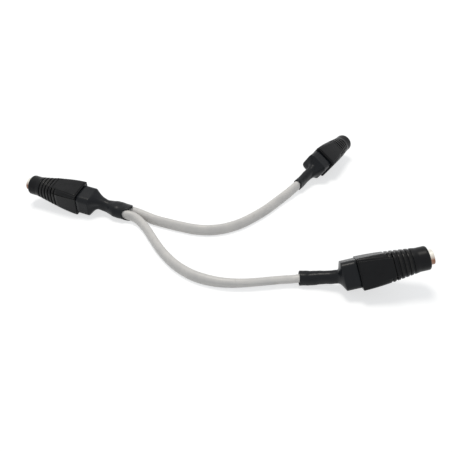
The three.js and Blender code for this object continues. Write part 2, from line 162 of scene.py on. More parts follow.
def add_piece(name: str, mesh: bpy.types.Mesh, finish: bpy.types.Material) -> bpy.types.Object:
    """Adds an object with one finish to the scene.

    Args:
        name: The piece's name.
        mesh: Its mesh, in metres.
        finish: Its material.

    Returns:
        The new object.
    """
    piece = bpy.data.objects.new(name, mesh)
    mesh.materials.clear()
    mesh.materials.append(finish)
    bpy.context.scene.collection.objects.link(piece)
    return piece


def cut_away(piece: bpy.types.Object, cutters: Sequence[bpy.types.Object], crease: float) -> None:
    """Cuts solids out of a piece and deletes the cutters.

    Args:
        piece: The piece that is cut.
        cutters: Closed objects whose space is taken away.
        crease: The angle in degrees above which an edge stays sharp.
    """
    for cutter in cutters:
        step = piece.modifiers.new(cutter.name, "BOOLEAN")
        step.operation = "DIFFERENCE"
        step.solver = "EXACT"
        step.object = cutter
    bpy.context.view_layer.update()
    depsgraph = bpy.context.evaluated_depsgraph_get()
    mesh = bpy.data.meshes.new_from_object(piece.evaluated_get(depsgraph))
    piece.modifiers.clear()
    piece.data = mesh
    mesh.name = piece.name
    mesh.shade_smooth()
    mesh.set_sharp_from_angle(angle=math.radians(crease))
    for cutter in cutters:
        bpy.data.objects.remove(cutter)


# Shader nodes


@dataclass
class Nodes:
    """A node tree that a finish or a shared effect is written into."""

    tree: bpy.types.NodeTree

    def add(
        self, kind: str, inputs: dict[str | int, object] | None = None, **settings: object
    ) -> bpy.types.Node:
        """Adds a node.

        Args:
            kind: The node's type name.
            inputs: Its input sockets by name or number, each a value or a socket to link from.
            settings: The node's own settings.

        Returns:
            The new node.
        """
        node = self.tree.nodes.new(kind)
        for key, value in settings.items():
            setattr(node, key, value)
        for key, value in (inputs or {}).items():
            if isinstance(value, bpy.types.NodeSocket):
                self.tree.links.new(value, node.inputs[key])
            else:
                node.inputs[key].default_value = value
        return node

    def math(self, operation: str, first: object, second: object = 0.0) -> bpy.types.NodeSocket:
        """Adds a Math node and returns its result."""
        return self.add("ShaderNodeMath", {0: first, 1: second}, operation=operation).outputs[0]

    def span(
        self, value: object, low: float, high: float, to_low: float, to_high: float
    ) -> bpy.types.NodeSocket:
        """Maps a value from one range to another, held at the ends, and returns the result."""
        inputs = {"Value": value, "From Min": low, "From Max": high, "To Min": to_low, "To Max": to_high}
        return self.add("ShaderNodeMapRange", inputs).outputs["Result"]

    def noise(
        self, vector: object, scale: object, detail: float, roughness: float = 0.5
    ) -> bpy.types.NodeSocket:
        """Adds a Noise Texture and returns its value."""
        inputs = {"Vector": vector, "Scale": scale, "Detail": detail, "Roughness": roughness}
        return self.add("ShaderNodeTexNoise", inputs).outputs["Fac"]

    def mix(self, share: object, first: object, second: object) -> bpy.types.NodeSocket:
        """Mixes two colours and returns the result."""
        node = self.add("ShaderNodeMix", {0: share, 6: first, 7: second}, data_type="RGBA")
        return node.outputs[2]


def shared_group(
    name: str, inputs: Sequence[tuple[str, str, float | None]], outputs: Sequence[str]
) -> tuple[Nodes, bpy.types.Node, bpy.types.Node]:
    """Starts a node group with named inputs and outputs.

    Args:
        name: The group's name.
        inputs: Each input's name, socket type and value.
        outputs: The names of the outputs, which are plain values.

    Returns:
        The group's tree, its input node and its output node.
    """
    tree = bpy.data.node_groups.new(name, "ShaderNodeTree")
    for label, kind, value in inputs:
        socket = tree.interface.new_socket(name=label, in_out="INPUT", socket_type=kind)
        if value is not None:
            socket.default_value = value
    for label in outputs:
        tree.interface.new_socket(name=label, in_out="OUTPUT", socket_type="NodeSocketFloat")
    nodes = Nodes(tree)
    return nodes, nodes.add("NodeGroupInput"), nodes.add("NodeGroupOutput")


class SharedEffects:
    """The effects that several finishes share, each built once as a node group.

    The scales of the fields are in repeats per metre.
    """

    PATCH_SHARE = 0.06
    CLOUD_SCALE = 260.0
    SPECK_SCALE = 5200.0
    RUB_AND_HIGHLIGHT_SCALE = 900.0
    WAVE_SCALE = 300.0
    TONE_SCALE = 120.0
    STRETCH = 0.02

    def __init__(self) -> None:
        """Builds the groups."""
        self.grain = self._grain()
        self.dust = self._dust()
        self.edge = self._edge()
        self.drawn = self._drawn()

    def _grain(self) -> bpy.types.NodeTree:
        """The fine spark-eroded grain of a moulding, with a slow unevenness over it."""
        inputs = [("Vector", "NodeSocketVector", None), ("Cells", "NodeSocketFloat", 4000.0)]
        nodes, start, end = shared_group("moulded_grain", inputs, ["Height", "Patches"])
        vector, cells = start.outputs["Vector"], start.outputs["Cells"]
        fine = nodes.noise(vector, cells, 3.0, 0.6)
        pit_inputs = {"Vector": vector, "Scale": nodes.math("MULTIPLY", cells, 0.7)}
        pits = nodes.add("ShaderNodeTexVoronoi", pit_inputs, feature="SMOOTH_F1").outputs["Distance"]
        height = nodes.math("ADD", nodes.math("MULTIPLY", fine, 0.6), nodes.math("MULTIPLY", pits, 0.4))
        patches = nodes.noise(vector, nodes.math("MULTIPLY", cells, self.PATCH_SHARE), 3.0)
        nodes.tree.links.new(height, end.inputs["Height"])
        nodes.tree.links.new(patches, end.inputs["Patches"])
        return nodes.tree

    def _dust(self) -> bpy.types.NodeTree:
        """Thin dust that settles on what faces up, in uneven specks."""
        inputs = [("Vector", "NodeSocketVector", None), ("Amount", "NodeSocketFloat", 0.2)]
        nodes, start, end = shared_group("settled_dust", inputs, ["Mask"])
        vector, amount = start.outputs["Vector"], start.outputs["Amount"]
        normal = nodes.add("ShaderNodeNewGeometry").outputs["Normal"]
        height = nodes.add("ShaderNodeSeparateXYZ", {0: normal}).outputs["Z"]
        facing = nodes.span(height, 0.15, 0.95, 0.0, 1.0)
        cloud = nodes.span(nodes.noise(vector, self.CLOUD_SCALE, 4.0, 0.6), 0.42, 0.72, 0.25, 1.0)
        specks = nodes.span(nodes.noise(vector, self.SPECK_SCALE, 2.0), 0.60, 0.72, 0.0, 1.0)
        body = nodes.math("ADD", nodes.math("MULTIPLY", cloud, 0.7), nodes.math("MULTIPLY", specks, 0.5))
        mask = nodes.math("MULTIPLY", nodes.math("MULTIPLY", facing, body), amount)
        nodes.tree.links.new(mask, end.inputs["Mask"])
        return nodes.tree

    def _edge(self) -> bpy.types.NodeTree:
        """A mask of convex edges: partly where handling has worn the surface, partly a painted highlight
        where an edge catches the light.
        """
        inputs = [("Vector", "NodeSocketVector", None), ("Start", "NodeSocketFloat", 0.52)]
        nodes, start, end = shared_group("worn_and_highlit_edges", inputs, ["Mask"])
        point = nodes.add("ShaderNodeNewGeometry").outputs["Pointiness"]
        above = nodes.math("SUBTRACT", point, start.outputs["Start"])
        ramp = nodes.span(above, 0.0, 0.06, 0.0, 1.0)
        rubs_and_glints = nodes.noise(start.outputs["Vector"], self.RUB_AND_HIGHLIGHT_SCALE, 3.0, 0.6)
        broken = nodes.span(rubs_and_glints, 0.35, 0.7, 0.3, 1.0)
        nodes.tree.links.new(nodes.math("MULTIPLY", ramp, broken), end.inputs["Mask"])
        return nodes.tree

    def _drawn(self) -> bpy.types.NodeTree:
        """Long faint lines along a drawn or extruded surface, with slow waves across them."""
        inputs = [("Map", "NodeSocketVector", None), ("Lines", "NodeSocketFloat", 2500.0)]
        nodes, start, end = shared_group("drawn_lines", inputs, ["Height", "Tone"])
        split = nodes.add("ShaderNodeSeparateXYZ", {0: start.outputs["Map"]})
        along = nodes.math("MULTIPLY", split.outputs["X"], self.STRETCH)
        pulled = nodes.add("ShaderNodeCombineXYZ", {"X": along, "Y": split.outputs["Y"]}).outputs[0]
        lines = nodes.noise(pulled, start.outputs["Lines"], 2.0)
        waves = nodes.noise(start.outputs["Map"], self.WAVE_SCALE, 2.0)
        tone = nodes.noise(start.outputs["Map"], self.TONE_SCALE, 4.0, 0.6)
        height = nodes.math("ADD", nodes.math("MULTIPLY", lines, 0.4), nodes.math("MULTIPLY", waves, 0.6))
        nodes.tree.links.new(height, end.inputs["Height"])
        nodes.tree.links.new(tone, end.inputs["Tone"])
        return nodes.tree


@dataclass
class Dressing:
    """A material in the making: its tree, its shader and the coordinates that its effects use."""

    material: bpy.types.Material
    nodes: Nodes
    shader: bpy.types.Node
    place: bpy.types.NodeSocket
    map: bpy.types.NodeSocket

    @classmethod
    def start(cls, name: str) -> "Dressing":
        """Makes an empty material with one Principled shader."""
        material = bpy.data.materials.new(name)
        material.use_nodes = True
        nodes = Nodes(material.node_tree)
        coordinates = nodes.add("ShaderNodeTexCoord")
        shader = material.node_tree.nodes["Principled BSDF"]
        return cls(material, nodes, shader, coordinates.outputs["Object"], coordinates.outputs["UV"])

    def effect(self, group: bpy.types.NodeTree, inputs: dict[str, object]) -> bpy.types.Node:
        """Places a shared effect with its own values."""
        return self.nodes.add("ShaderNodeGroup", inputs, node_tree=group)

    def grain(self, effects: SharedEffects, cells: float) -> bpy.types.Node:
        """Places the moulded grain with its own number of cells per metre."""
        return self.effect(effects.grain, {"Vector": self.place, "Cells": cells})

    def dust(self, effects: SharedEffects, amount: float) -> bpy.types.NodeSocket:
        """Places the settled dust and returns its mask."""
        return self.effect(effects.dust, {"Vector": self.place, "Amount": amount}).outputs["Mask"]

    def edges(self, effects: SharedEffects, start: float) -> bpy.types.NodeSocket:
        """Places the worn edges with their painted highlight, from a sharpness upwards, and returns their
        mask.
        """
        return self.effect(effects.edge, {"Vector": self.place, "Start": start}).outputs["Mask"]

    def feed(self, socket: str, source: bpy.types.NodeSocket) -> None:
        """Links a result to one of the shader's sockets."""
        self.nodes.tree.links.new(source, self.shader.inputs[socket])

    def uneven(self, field: object, middle: float, below: float, above: float) -> bpy.types.NodeSocket:
        """Spreads a value about its middle by a slow field, and returns the result."""
        return self.nodes.span(field, 0.3, 0.7, middle - below, middle + above)

    def bump(self, height: bpy.types.NodeSocket, strength: float, depth: float) -> None:
        """Raises the surface by a height field.

        Args:
            height: The field, from 0 to 1.
            strength: How much of it shows.
            depth: What a height of 1 stands for, in metres.
        """
        inputs = {"Height": height, "Strength": strength, "Distance": depth}
        self.feed("Normal", self.nodes.add("ShaderNodeBump", inputs).outputs["Normal"])


@dataclass(frozen=True)
class MouldedPlastic:
    """Black plastic from a spark-eroded mould, as on the housings and the inner carriers."""

    name: str
    base: Colour
    worn: Colour
    rubbed_and_highlit: Colour
    dusty: Colour
    roughness: float
    shine: float
    cells: float
    dust: float
    edge_start: float = 0.53
    relief: float = 0.16
    relief_depth: float = 0.00004

    def material(self, effects: SharedEffects) -> bpy.types.Material:
        """Builds the material."""
        dressing = Dressing.start(self.name)
        nodes = dressing.nodes
        grain = dressing.grain(effects, self.cells)
        dust = dressing.dust(effects, self.dust)
        edge = dressing.edges(effects, self.edge_start)
        patches = nodes.span(grain.outputs["Patches"], 0.3, 0.7, 0.0, 0.35)
        tone = nodes.mix(patches, self.base, self.worn)
        # Convex edges go paler: partly worn plastic, partly a painted highlight.
        rubbed_and_highlit = nodes.mix(nodes.math("MULTIPLY", edge, 0.8), tone, self.rubbed_and_highlit)
        dressing.feed("Base Color", nodes.mix(dust, rubbed_and_highlit, self.dusty))
        rough = dressing.uneven(grain.outputs["Patches"], self.roughness, 0.05, 0.06)
        dusted = nodes.math("ADD", rough, nodes.math("MULTIPLY", dust, 0.3))
        dressing.feed("Roughness", nodes.math("SUBTRACT", dusted, nodes.math("MULTIPLY", edge, 0.10)))
        dressing.shader.inputs["Specular IOR Level"].default_value = self.shine
        dressing.bump(grain.outputs["Height"], self.relief, self.relief_depth)
        return dressing.material


@dataclass(frozen=True)
class ShrunkSleeve:
    """Black heat-shrink sleeve: satin, a little wavy, with faint lines along it."""

    name: str
    base: Colour
    pale: Colour
    dusty: Colour
    roughness: float
    shine: float
    dust: float
    lines: float = 1800.0
    cells: float = 2600.0
    relief: float = 0.35
    relief_depth: float = 0.00012

    def material(self, effects: SharedEffects) -> bpy.types.Material:
        """Builds the material."""
        dressing = Dressing.start(self.name)
        nodes = dressing.nodes
        drawn = dressing.effect(effects.drawn, {"Map": dressing.map, "Lines": self.lines})
        dust = dressing.dust(effects, self.dust)
        grain = dressing.grain(effects, self.cells)
        tone = nodes.mix(nodes.span(drawn.outputs["Tone"], 0.35, 0.7, 0.0, 0.6), self.base, self.pale)
        dressing.feed("Base Color", nodes.mix(dust, tone, self.dusty))
        rough = dressing.uneven(drawn.outputs["Tone"], self.roughness, 0.05, 0.08)
        dressing.feed("Roughness", nodes.math("ADD", rough, nodes.math("MULTIPLY", dust, 0.3)))
        dressing.shader.inputs["Specular IOR Level"].default_value = self.shine
        fine = nodes.math("MULTIPLY", grain.outputs["Height"], 0.25)
        height = nodes.math("ADD", drawn.outputs["Height"], fine)
        dressing.bump(height, self.relief, self.relief_depth)
        return dressing.material


@dataclass(frozen=True)
class CableJacket:
    """Soft extruded jacket or core insulation, with handling marks and a slow change of tone."""

    name: str
    base: Colour
    shade: Colour
    grime: Colour
    roughness: float
    soiled: float
    smudge: Point = (0.0, 0.0, -1.0)
    smudge_inner: float = 0.0006
    smudge_outer: float = 0.0030
    lines: float = 1500.0
    cells: float = 2200.0
    mark_scale: float = 190.0
    shine: float = 0.4
    relief: float = 0.4
    relief_depth: float = 0.00008

    def material(self, effects: SharedEffects) -> bpy.types.Material:
        """Builds the material."""
        dressing = Dressing.start(self.name)
        nodes = dressing.nodes
        drawn = dressing.effect(effects.drawn, {"Map": dressing.map, "Lines": self.lines})
        grain = dressing.grain(effects, self.cells)
        tone = nodes.mix(nodes.span(drawn.outputs["Tone"], 0.35, 0.65, 0.0, 1.0), self.base, self.shade)
        handled = nodes.noise(dressing.place, self.mark_scale, 5.0, 0.7)
        marks = nodes.span(handled, 0.60, 0.74, 0.0, self.soiled)
        apart = nodes.add("ShaderNodeVectorMath", {0: dressing.place, 1: self.smudge}, operation="DISTANCE")
        smudged = nodes.span(apart.outputs["Value"], self.smudge_inner, self.smudge_outer, 0.55, 0.0)
        soiled = nodes.math("MAXIMUM", marks, smudged)
        dressing.feed("Base Color", nodes.mix(soiled, tone, self.grime))
        dressing.feed("Roughness", dressing.uneven(drawn.outputs["Tone"], self.roughness, 0.06, 0.06))
        dressing.shader.inputs["Specular IOR Level"].default_value = self.shine
        fine = nodes.math("MULTIPLY", grain.outputs["Height"], 0.3)
        height = nodes.math("ADD", drawn.outputs["Height"], fine)
        dressing.bump(height, self.relief, self.relief_depth)
        return dressing.material


@dataclass(frozen=True)
class TurnedMetal:
    """Plated or bare metal that was turned or stamped, a little dulled."""

    name: str
    base: Colour
    dull: Colour
    painted_underside_shade: Colour
    roughness: float
    cells: float = 3000.0
    edge_start: float = 0.54
    relief: float = 0.15
    relief_depth: float = 0.00002

    def material(self, effects: SharedEffects) -> bpy.types.Material:
        """Builds the material, with a painted shade, a darker brownish reflection, on what doesn't face up.
        """
        dressing = Dressing.start(self.name)
        nodes = dressing.nodes
        grain = dressing.grain(effects, self.cells)
        edge = dressing.edges(effects, self.edge_start)
        share = nodes.span(grain.outputs["Patches"], 0.35, 0.7, 0.0, 1.0)
        normal = nodes.add("ShaderNodeNewGeometry").outputs["Normal"]
        height = nodes.add("ShaderNodeSeparateXYZ", {0: normal}).outputs["Z"]
        tone = nodes.mix(share, self.base, self.dull)
        # Painted shade: faces that don't face up turn towards a dark brown, standing for the darker
        # reflection below the metal.
        under = nodes.mix(nodes.span(height, 0.35, 0.85, 1.0, 0.0), tone, self.painted_underside_shade)
        # Convex edges take the bright base colour: partly worn plating, partly a painted highlight.
        dressing.feed("Base Color", nodes.mix(edge, under, self.base))
        dressing.feed("Roughness", dressing.uneven(grain.outputs["Patches"], self.roughness, 0.04, 0.10))
        dressing.shader.inputs["Metallic"].default_value = 1.0
        dressing.bump(grain.outputs["Height"], self.relief, self.relief_depth)
        return dressing.material


class Finish(Enum):
    """The finishes of the part. Each value is the record's material slot."""

    HOUSING = "housing"
    SLEEVE = "shrink_sleeve"
    CARRIER = "core_plastic"
    NICKEL = "nickel"
    BRASS = "contact_brass"
    JACKET = "cable_jacket"
    RED = "red_insulation"
    BLACK = "black_insulation"


class Finishes:
    """Makes every finish once and hands it out by name."""

    def __init__(self) -> None:
        """Builds the shared effects and the finishes."""
        effects = SharedEffects()
        recipes = {
            # The third colour of each plastic is its pale edge colour: partly wear, partly a painted
            # highlight.
            Finish.HOUSING: MouldedPlastic(
                "housing_plastic", (0.0040, 0.0045, 0.0058, 1), (0.0095, 0.0102, 0.0115, 1),
                (0.055, 0.053, 0.048, 1), (0.075, 0.072, 0.064, 1),
                roughness=0.30, shine=0.15, cells=4200.0, dust=0.07,
            ),
            Finish.CARRIER: MouldedPlastic(
                "carrier_plastic", (0.010, 0.011, 0.012, 1), (0.020, 0.021, 0.023, 1),
                (0.040, 0.040, 0.038, 1), (0.09, 0.088, 0.08, 1),
                roughness=0.55, shine=0.2, cells=4200.0, dust=0.04,
            ),
            Finish.SLEEVE: ShrunkSleeve(
                "shrink_sleeve", (0.0040, 0.0054, 0.0078, 1), (0.0085, 0.0102, 0.0130, 1),
                (0.070, 0.066, 0.058, 1), roughness=0.29, shine=0.19, dust=0.08,
            ),
            Finish.JACKET: CableJacket(
                "cable_jacket", (0.74, 0.725, 0.705, 1), (0.66, 0.65, 0.64, 1),
                (0.33, 0.31, 0.28, 1), roughness=0.42, soiled=0.35, smudge=(0.0330, -0.0600, 0.0012),
            ),
            Finish.RED: CableJacket(
                "red_insulation", (0.42, 0.014, 0.012, 1), (0.34, 0.012, 0.011, 1),
                (0.16, 0.02, 0.015, 1), roughness=0.40, soiled=0.2,
            ),
            Finish.BLACK: CableJacket(
                "black_insulation", (0.012, 0.012, 0.013, 1), (0.018, 0.018, 0.020, 1),
                (0.05, 0.05, 0.045, 1), roughness=0.42, soiled=0.2,
            ),
            # The third colour of each metal is a painted shade for what doesn't face up.
            Finish.NICKEL: TurnedMetal(
                "nickel_plate", (0.88, 0.86, 0.80, 1), (0.70, 0.66, 0.58, 1),
                (0.20, 0.085, 0.045, 1), roughness=0.20,
            ),
            Finish.BRASS: TurnedMetal(
                "contact_brass", (0.62, 0.42, 0.17, 1), (0.42, 0.27, 0.11, 1),
                (0.22, 0.12, 0.05, 1), roughness=0.30,
            ),
        }
        self._made = {finish: recipe.material(effects) for finish, recipe in recipes.items()}

    def __getitem__(self, finish: Finish) -> bpy.types.Material:
        """The material of a finish."""
        return self._made[finish]


# Housing


@dataclass(frozen=True)
class Outline:
    """A quarter of a rounded square, followed by its length from the middle of the +Y side."""

    half_y: float
    half_z: float
    corner: float

    def at(self, length: float) -> Pair:
        """The point at a length from the middle of the side. A length below 0 runs down."""
        sign, length = (1.0 if length >= 0 else -1.0), abs(length)
        straight = self.half_z - self.corner
        if length <= straight:
            return self.half_y, sign * length
        angle = (length - straight) / self.corner
        if angle <= math.pi / 2:
            y = self.half_y - self.corner * (1 - math.cos(angle))
            return y, sign * (straight + self.corner * math.sin(angle))
        return self.half_y - self.corner - (length - straight - self.corner * math.pi / 2), sign * self.half_z

    def length_at_height(self, height: float) -> float:
        """The length at which the outline reaches a height above its middle."""
        straight = self.half_z - self.corner
        if height <= straight:
            return height
        return straight + self.corner * math.asin(min((height - straight) / self.corner, 1.0))

    def length_at_side(self, side: float) -> float:
        """The length at which the outline comes in to a distance from the middle plane."""
        straight = self.half_z - self.corner
        past = side - (self.half_y - self.corner)
        if past <= 0:
            return straight + self.corner * math.pi / 2 - past
        return straight + self.corner * math.acos(min(past / self.corner, 1.0))

    def height(self, side: float) -> float:
        """The outline's height at a distance from the middle plane."""
        past = max(side - (self.half_y - self.corner), 0.0)
        return self.half_z - self.corner + math.sqrt(max(self.corner**2 - past**2, 0.0))


@dataclass(frozen=True)
class Housing:
    """The moulded housing: a body with its round nose, and a cover that closes the chamber."""

    nose_radius: float = 5.5
    nose_length: float = 6.7
    nose_fillet: float = 1.0
    neck_length: float = 8.1
    neck_front_half: float = 5.85
    grip_length: float = 16.2
    grip_half: float = 7.25
    grip_corner: float = 1.0
    corner_growth: float = 1.5
    panel_rise: float = 0.4
    panel_half: float = 6.1
    panel_inset: float = 0.5
    panel_taper: float = 1.9
    block_length: float = 6.0
    block_half: float = 5.35
    block_wide_half: float = 5.8
    block_aside: float = 0.4
    block_corner: float = 1.3
    groove_count: int = 6
    groove_pitch: float = 2.05
    groove_depth: float = 0.4
    groove_inset: float = 0.9
    split_rear: float = 5.4
    split_front: float = 4.3
    cover_inset: float = 1.0
    split_gap: float = 0.3
    split_chamfer: float = 0.24
    chamber_rear: float = 1.2
    chamber_front: float = 12.4
    chamber_wall: float = 1.8
    bore_radius: float = 3.8
    passage_half_wide: float = 3.05
    passage_half_thin: float = 2.25
    cut_past: float = 1.0
    nose_blend: float = 2.2
    panel_edge: float = 0.3
    panel_fade: float = 0.14
    panel_reach: float = 0.78
    shoulder_share: float = 0.62
    block_chamfer: float = 0.4
    block_stations: tuple[float, ...] = (-4.0, -2.0, -0.001)
    rear_rounding: tuple[Pair, ...] = ((0.0, 0.3), (0.08, 0.12), (0.3, 0.0))
    panel_steps: tuple[float, ...] = (0.0, 0.06, 0.2, 0.5, 1.0)
    panel_shoulder: tuple[Pair, ...] = ((0.0, 0.0), (0.03, 0.45), (0.10, 0.78), (0.20, 0.94), (0.35, 1.0))
    groove_shape: tuple[Pair, ...] = ((0.52, 0.0), (0.44, 0.05), (0.36, 0.27), (0.27, 0.4))
    grip_step: float = 0.9
    upper_points: int = 12
    flank_points: int = 8
    corner_points: int = 9
    panel_points: int = 5
    nose_rings: int = 14
    fillet_rings: int = 7
    bore_sides: int = 72
    passage_sides: int = 48
    crease: float = 40.0

    @property
    def neck_front(self) -> float:
        """Where the neck ends and the nose begins."""
        return self.grip_length + self.neck_length

    @property
    def nose_front(self) -> float:
        """The front face of the nose."""
        return self.neck_front + self.nose_length

    @property
    def panel_front(self) -> float:
        """The front end of the raised panels."""
        return self.grip_length + self.groove_depth

    @property
    def cover_front(self) -> float:
        """The front end of the cover."""
        return self.grip_length - self.cover_inset

    def half(self, x: float) -> float:
        """Half the housing's width between the grip's rear and the neck's front."""
        share = math.cos(math.pi / 2 * min(max(x / self.neck_front, 0.0), 1.0))
        return self.neck_front_half + (self.grip_half - self.neck_front_half) * share

    def split(self, x: float) -> float:
        """The height at which the cover meets the body."""
        return self.split_rear + (self.split_front - self.split_rear) * x / self.cover_front

    def outline(self, x: float, inward: float) -> Outline:
        """The section at a place along the axis, drawn in by a small amount."""
        if x < 0:
            return Outline(self.block_wide_half - inward, self.block_half - inward, self.block_corner)
        if x > self.neck_front:
            blend = 1 - smoothstep(x, self.neck_front, self.neck_front + self.nose_blend)
            half = self.nose_radius + (self.neck_front_half - self.nose_radius) * blend - inward
            return Outline(half, half, half)
        half = self.half(x) - inward
        share = x / self.neck_front
        corner = self.grip_corner + (self.half(x) - self.grip_corner) * share**self.corner_growth
        corner = min(max(corner - inward, 0.5), half - 0.05)
        low = half - self.panel_rise * (1 - share)
        return Outline(half, low, min(corner, low - 0.02))

    def panel_lift(self, x: float) -> float:
        """How much of the panel's height stands at a place along the axis, from 0 to 1."""
        rise = min(max((x - self.panel_inset) / self.panel_edge, 0.0), 1.0)
        fall = min(max((self.panel_front - x) / self.panel_edge, 0.0), 1.0)
        share = min(rise, fall)
        return math.sqrt(max(1 - (1 - share) ** 2, 0.0))

    def panel_side(self, x: float, outline: Outline) -> float:
        """Half the panel's width, and past its front the line that carries its edge on."""
        rear, front = self.panel_inset, self.panel_front
        share = min(max((x - rear) / (front - rear), 0.0), 1.0)
        side = self.panel_half - self.panel_taper * share - self.panel_fade * max(x - front, 0.0)
        return min(side, self.panel_reach * outline.half_y) if x < 0 or x > front else side

    def flank(self, x: float, inward: float, start: float, upward: bool) -> list[Pair]:
        """Half an outline on the +Y side, from the split to the middle of a flat.

        Args:
            x: The place along the axis.
            inward: How far the section is drawn in.
            start: The height at which the flank starts.
            upward: Whether it runs to the upper flat or to the lower one.

        Returns:
            Points as (y, z), the same number for every section.
        """
        outline = self.outline(x, inward)
        side = self.panel_side(x, outline)
        lift = self.panel_lift(x)
        top = self.half(x)
        first = outline.length_at_height(start)
        foot = outline.length_at_side(side)
        if upward:
            lengths = list(np.linspace(first, foot, self.upper_points, endpoint=False))
            sign = 1.0
        else:
            low = -(outline.half_z - outline.corner)
            lengths = list(np.linspace(first, low, self.flank_points, endpoint=False))
            lengths += list(np.linspace(low, -foot, self.corner_points, endpoint=False))
            sign = -1.0
        points = [outline.at(float(length)) for length in lengths]
        for back, share in self.panel_shoulder:
            base = outline.height(side - back)
            points.append((side - back, sign * (base + lift * share * (top - base))))
        for y in np.linspace(side - self.panel_shoulder[-1][0], 0.0, self.panel_points)[1:]:
            base = outline.height(float(y))
            points.append((float(y), sign * (base + lift * (top - base))))
        return points

    def stations(self) -> list[Pair]:
        """Places along the axis from the grip to the neck's front, each with how far it is drawn in."""
        rear = list(self.rear_rounding)
        panel = [(self.panel_inset + self.panel_edge * t, 0.0) for t in self.panel_steps]
        panel += [(self.panel_front - self.panel_edge * t, 0.0) for t in self.panel_steps]
        grooves: list[Pair] = []
        for i in range(self.groove_count):
            middle = self.neck_front - self.groove_inset - i * self.groove_pitch
            for offset, depth in self.groove_shape:
                grooves += [(middle - offset, depth), (middle + offset, depth)]
        first = min(x for x, _ in grooves)
        grip = [(x, 0.0) for x in np.arange(1.5, first - self.groove_depth, self.grip_step)]
        front = [(self.neck_front - 0.12, 0.0)]
        return sorted(rear + panel + grooves + grip + front)

    def full_ring(self, x: float, inward: float) -> np.ndarray:
        """A whole section."""
        outline = self.outline(x, inward)
        start = self.split(x) - self.split_gap
        if x < 0 or x > self.neck_front:
            start = min(start, self.shoulder_share * outline.half_z)
        upper = self.flank(x, inward, start, True)
        lower = self.flank(x, inward, start - self.split_chamfer, False)
        ring = self._closed(x, upper, lower)
        if x < 0:
            ring[:, 1] += self.block_aside
        return ring

    def open_ring(self, x: float, inward: float) -> np.ndarray:
        """A section of the body under the cover, flat on top where the two part."""
        level = self.split(x) - self.split_gap
        lower = self.flank(x, inward, level - self.split_chamfer, False)
        edge = self.split_edge(x, inward, level)
        count = len(self.flank(x, inward, level, True))
        upper = [(edge * (1 - i / (count - 1)), level) for i in range(count)]
        return self._closed(x, upper, lower)

    def split_edge(self, x: float, inward: float, level: float) -> float:
        """Half the width of the flat where body and cover meet, inside its chamfer."""
        outline = self.outline(x, inward)
        return outline.at(outline.length_at_height(level))[0] - self.split_chamfer

    @staticmethod
    def _closed(x: float, upper: Sequence[Pair], lower: Sequence[Pair]) -> np.ndarray:
        """Mirrors two flanks and joins them into one ring."""
        mirror = [(-y, z) for y, z in reversed(upper[:-1])]
        under = [(-y, z) for y, z in lower]
        rest = list(reversed(lower[:-1]))
        return np.array([(x, y, z) for y, z in [*upper, *mirror, *under, *rest]])

    def body_surface(self) -> Surface:
        """The body's outside, from the block that carries the boot to the nose."""
        rings = [self.full_ring(-self.block_length, self.block_chamfer)]
        rings.append(self.full_ring(-self.block_length + self.block_chamfer, 0.0))
        rings += [self.full_ring(x, 0.0) for x in self.block_stations]
        wall = self.cover_front + self.split_gap
        stations = self.stations()
        rings += [self.open_ring(x, inward) for x, inward in stations if x < wall - 0.01]
        rings.append(self.open_ring(wall, self.groove_depth))
        rings.append(self.full_ring(wall + 0.02, self.groove_depth))
        rings += [self.full_ring(x, inward) for x, inward in stations if x > wall + 0.03]
        first = self.neck_front + 0.03
        fillet = self.nose_front - self.nose_fillet
        for x in (first, *np.linspace(first + 0.4, fillet, self.nose_rings)):
            rings.append(self.full_ring(float(x), 0.0))
        for step in range(1, self.fillet_rings + 1):
            angle = step / self.fillet_rings * math.pi / 2
            along = fillet + self.nose_fillet * math.sin(angle)
            rings.append(self.full_ring(along, self.nose_fillet * (1 - math.cos(angle))))
        return skin(rings)

    def cover_surface(self) -> Surface:
        """The cover: a shallow lid with the upper panel on it."""
        stations = [(x, inward) for x, inward in self.stations() if x < self.cover_front - 0.12]
        stations += [(self.cover_front - 0.10, 0.42), (self.cover_front, 0.52)]
        rings = []
        for x, inward in stations:
            level = self.split(x)
            upper = self.flank(x, inward, level + self.split_chamfer, True)
            edge = self.split_edge(x, inward, level)
            chord = [(-edge + 2 * edge * i / 19, level) for i in range(20)]
            mirror = [(-y, z) for y, z in reversed(upper[:-1])]
            rings.append(np.array([(x, y, z) for y, z in [*upper, *mirror, *chord]]))
        return skin(rings)

    def cutters(self, passage_turn: float) -> list[Surface]:
        """The chamber, the socket's bore and the cable's passage."""
        half = self.half(self.chamber_front) - self.chamber_wall
        top = 2 * self.grip_half
        chamber = block_surface((self.chamber_rear, -half, -half), (self.chamber_front, half, top))
        rear, front = self.chamber_front - self.cut_past, self.nose_front + self.cut_past
        wall = [(rear, 0.001), (rear, self.bore_radius), (front, self.bore_radius), (front, 0.001)]
        bore = turned(wall, self.bore_sides, closed=False)
        rings = []
        for x in (-self.block_length - self.cut_past, self.chamber_rear + self.cut_past):
            angles = [2 * math.pi * k / self.passage_sides for k in range(self.passage_sides)]
            wide, thin = self.passage_half_wide, self.passage_half_thin
            radii = [oval_radius(a - passage_turn, wide, thin) for a in angles]
            rings.append(np.array([(x, r * math.cos(a), r * math.sin(a)) for a, r in zip(angles, radii)]))
        return [chamber, bore, skin(rings)]

